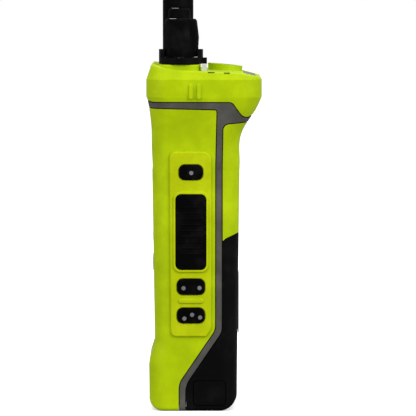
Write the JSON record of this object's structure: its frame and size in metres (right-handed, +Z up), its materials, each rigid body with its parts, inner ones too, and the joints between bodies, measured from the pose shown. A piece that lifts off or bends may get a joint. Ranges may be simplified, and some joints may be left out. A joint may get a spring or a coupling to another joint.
{
  "type": "handheld gps radio",
  "caption": "Rugged two-way hand radio with a satellite receiver, side talk key, two top knobs, whip antenna and a slide-off battery.",
  "frame": {"origin": "on the base plane, under the centre of the head", "axes": "+Z up along the body, -Y the display side, +Y the battery side, +X the push-to-talk side"},
  "size_m": [0.0744, 0.0564, 0.311],
  "materials": {
    "lime_shell": "satin",
    "grey_strip": "matte",
    "black_shell": "matte",
    "black_rubber": "matte",
    "key_dots": "satin",
    "white_mark": "satin",
    "alert_orange": "satin",
    "display_glass": "glossy",
    "display_panel": "glossy",
    "circuit_board": "glossy",
    "tinned_steel": "satin",
    "cast_metal": "matte",
    "gold_contact": "satin",
    "brass_insert": "satin",
    "steel_fixing": "satin",
    "ceramic": "matte",
    "speaker_cone": "matte",
    "cell_wrap": "satin"
  },
  "bodies": {
    "radio": {"front_housing": "lime_shell", "rear_cover": "lime_shell", "head_cap": "lime_shell", "side_key_bezel": "lime_shell", "trim_band": "grey_strip", "display_bezel": "black_shell", "antenna_sheath": "black_rubber", "antenna_collar": "black_shell", "index_tab": "white_mark", "display_lens": "display_glass", "top_display_lens": "display_glass", "display_module": "display_panel", "top_display_module": "display_panel", "main_board": "circuit_board", "key_board": "circuit_board", "side_switch_board": "circuit_board", "shield_cans": "tinned_steel", "side_switches": "tinned_steel", "key_domes": "tinned_steel", "channel_switch": "cast_metal", "volume_switch": "cast_metal", "chassis": "cast_metal", "housing_screws": "steel_fixing", "accessory_screw": "steel_fixing", "speaker_mesh": "steel_fixing", "speaker": "speaker_cone", "microphone": "speaker_cone", "gps_patch_antenna": "ceramic", "antenna_connector": "brass_insert", "clip_inserts": "brass_insert", "battery_contacts": "gold_contact", "accessory_pins": "gold_contact", "accessory_cover": "lime_shell", "accessory_connector": "black_shell"},
    "ptt": {"ptt_button": "black_rubber"},
    "side_one": {"side_button_one": "black_rubber", "one_dot": "key_dots"},
    "side_two": {"side_button_two": "black_rubber", "two_dots": "key_dots"},
    "side_three": {"side_button_three": "black_rubber", "three_dots": "key_dots"},
    "channel_control": {"channel_knob": "black_rubber", "channel_shaft": "steel_fixing"},
    "volume_control": {"volume_knob": "black_rubber", "volume_shaft": "steel_fixing"},
    "mode_switch": {"mode_ring": "black_shell"},
    "emergency": {"emergency_button": "alert_orange"},
    "battery": {"battery_case": "black_shell", "battery_lid": "black_shell", "battery_cells": "cell_wrap", "battery_board": "circuit_board", "battery_terminals": "gold_contact"},
    "latch_right": {"battery_latch_right": "black_shell"},
    "latch_left": {"battery_latch_left": "black_shell"},
    "soft_key_left_body": {"soft_key_left": "black_rubber"},
    "soft_key_middle_body": {"soft_key_middle": "black_rubber"},
    "soft_key_right_body": {"soft_key_right": "black_rubber"},
    "nav_key_body": {"nav_key": "black_rubber"},
    "home_key_body": {"home_key": "black_rubber"},
    "data_key_body": {"data_key": "black_rubber"}
  },
  "joints": [
    {"name": "ptt_press", "type": "slide", "parent": "radio", "child": "ptt", "axis": [-1, 0, 0], "range_m": [0, 0.0012], "stiffness_N_per_m": 1200, "springref_m": -0.0006},
    {"name": "side_one_press", "type": "slide", "parent": "radio", "child": "side_one", "axis": [-1, 0, 0], "range_m": [0, 0.0006], "stiffness_N_per_m": 1500, "springref_m": -0.0003},
    {"name": "side_two_press", "type": "slide", "parent": "radio", "child": "side_two", "axis": [-1, 0, 0], "range_m": [0, 0.0006], "stiffness_N_per_m": 1500, "springref_m": -0.0003},
    {"name": "side_three_press", "type": "slide", "parent": "radio", "child": "side_three", "axis": [-1, 0, 0], "range_m": [0, 0.0006], "stiffness_N_per_m": 1500, "springref_m": -0.0003},
    {"name": "channel_turn", "type": "hinge", "parent": "radio", "child": "channel_control", "pos_m": [0.022, -0.01125, 0.18], "axis": [0, 0, 1], "continuous": true},
    {"name": "volume_turn", "type": "hinge", "parent": "radio", "child": "volume_control", "pos_m": [0, -0.0122, 0.18], "axis": [0, 0, 1], "range_deg": [-270, 0]},
    {"name": "mode_turn", "type": "hinge", "parent": "radio", "child": "mode_switch", "pos_m": [0.022, -0.01125, 0.1715], "axis": [0, 0, 1], "range_deg": [0, 40]},
    {"name": "emergency_press", "type": "slide", "parent": "radio", "child": "emergency", "axis": [0, 0, -1], "range_m": [0, 0.0012], "stiffness_N_per_m": 1500, "springref_m": -0.0006},
    {"name": "battery_lift_off", "type": "slide", "parent": "radio", "child": "battery", "axis": [0, 1, 0], "range_m": [0, 0.045]},
    {"name": "latch_right_press", "type": "slide", "parent": "battery", "child": "latch_right", "axis": [-1, 0, 0], "range_m": [0, 0.0015], "stiffness_N_per_m": 1200, "springref_m": -0.00075},
    {"name": "latch_left_press", "type": "slide", "parent": "battery", "child": "latch_left", "axis": [1, 0, 0], "range_m": [0, 0.0015], "stiffness_N_per_m": 1200, "springref_m": -0.00075},
    {"name": "soft_key_left_press", "type": "slide", "parent": "radio", "child": "soft_key_left_body", "axis": [0, 1, 0], "range_m": [0, 0.0004], "stiffness_N_per_m": 1500, "springref_m": -0.0002},
    {"name": "soft_key_middle_press", "type": "slide", "parent": "radio", "child": "soft_key_middle_body", "axis": [0, 1, 0], "range_m": [0, 0.0004], "stiffness_N_per_m": 1500, "springref_m": -0.0002},
    {"name": "soft_key_right_press", "type": "slide", "parent": "radio", "child": "soft_key_right_body", "axis": [0, 1, 0], "range_m": [0, 0.0004], "stiffness_N_per_m": 1500, "springref_m": -0.0002},
    {"name": "nav_key_press", "type": "slide", "parent": "radio", "child": "nav_key_body", "axis": [0, 1, 0], "range_m": [0, 0.0004], "stiffness_N_per_m": 1500, "springref_m": -0.0002},
    {"name": "home_key_press", "type": "slide", "parent": "radio", "child": "home_key_body", "axis": [0, 1, 0], "range_m": [0, 0.0004], "stiffness_N_per_m": 1500, "springref_m": -0.0002},
    {"name": "data_key_press", "type": "slide", "parent": "radio", "child": "data_key_body", "axis": [0, 1, 0], "range_m": [0, 0.0004], "stiffness_N_per_m": 1500, "springref_m": -0.0002}
  ]
}
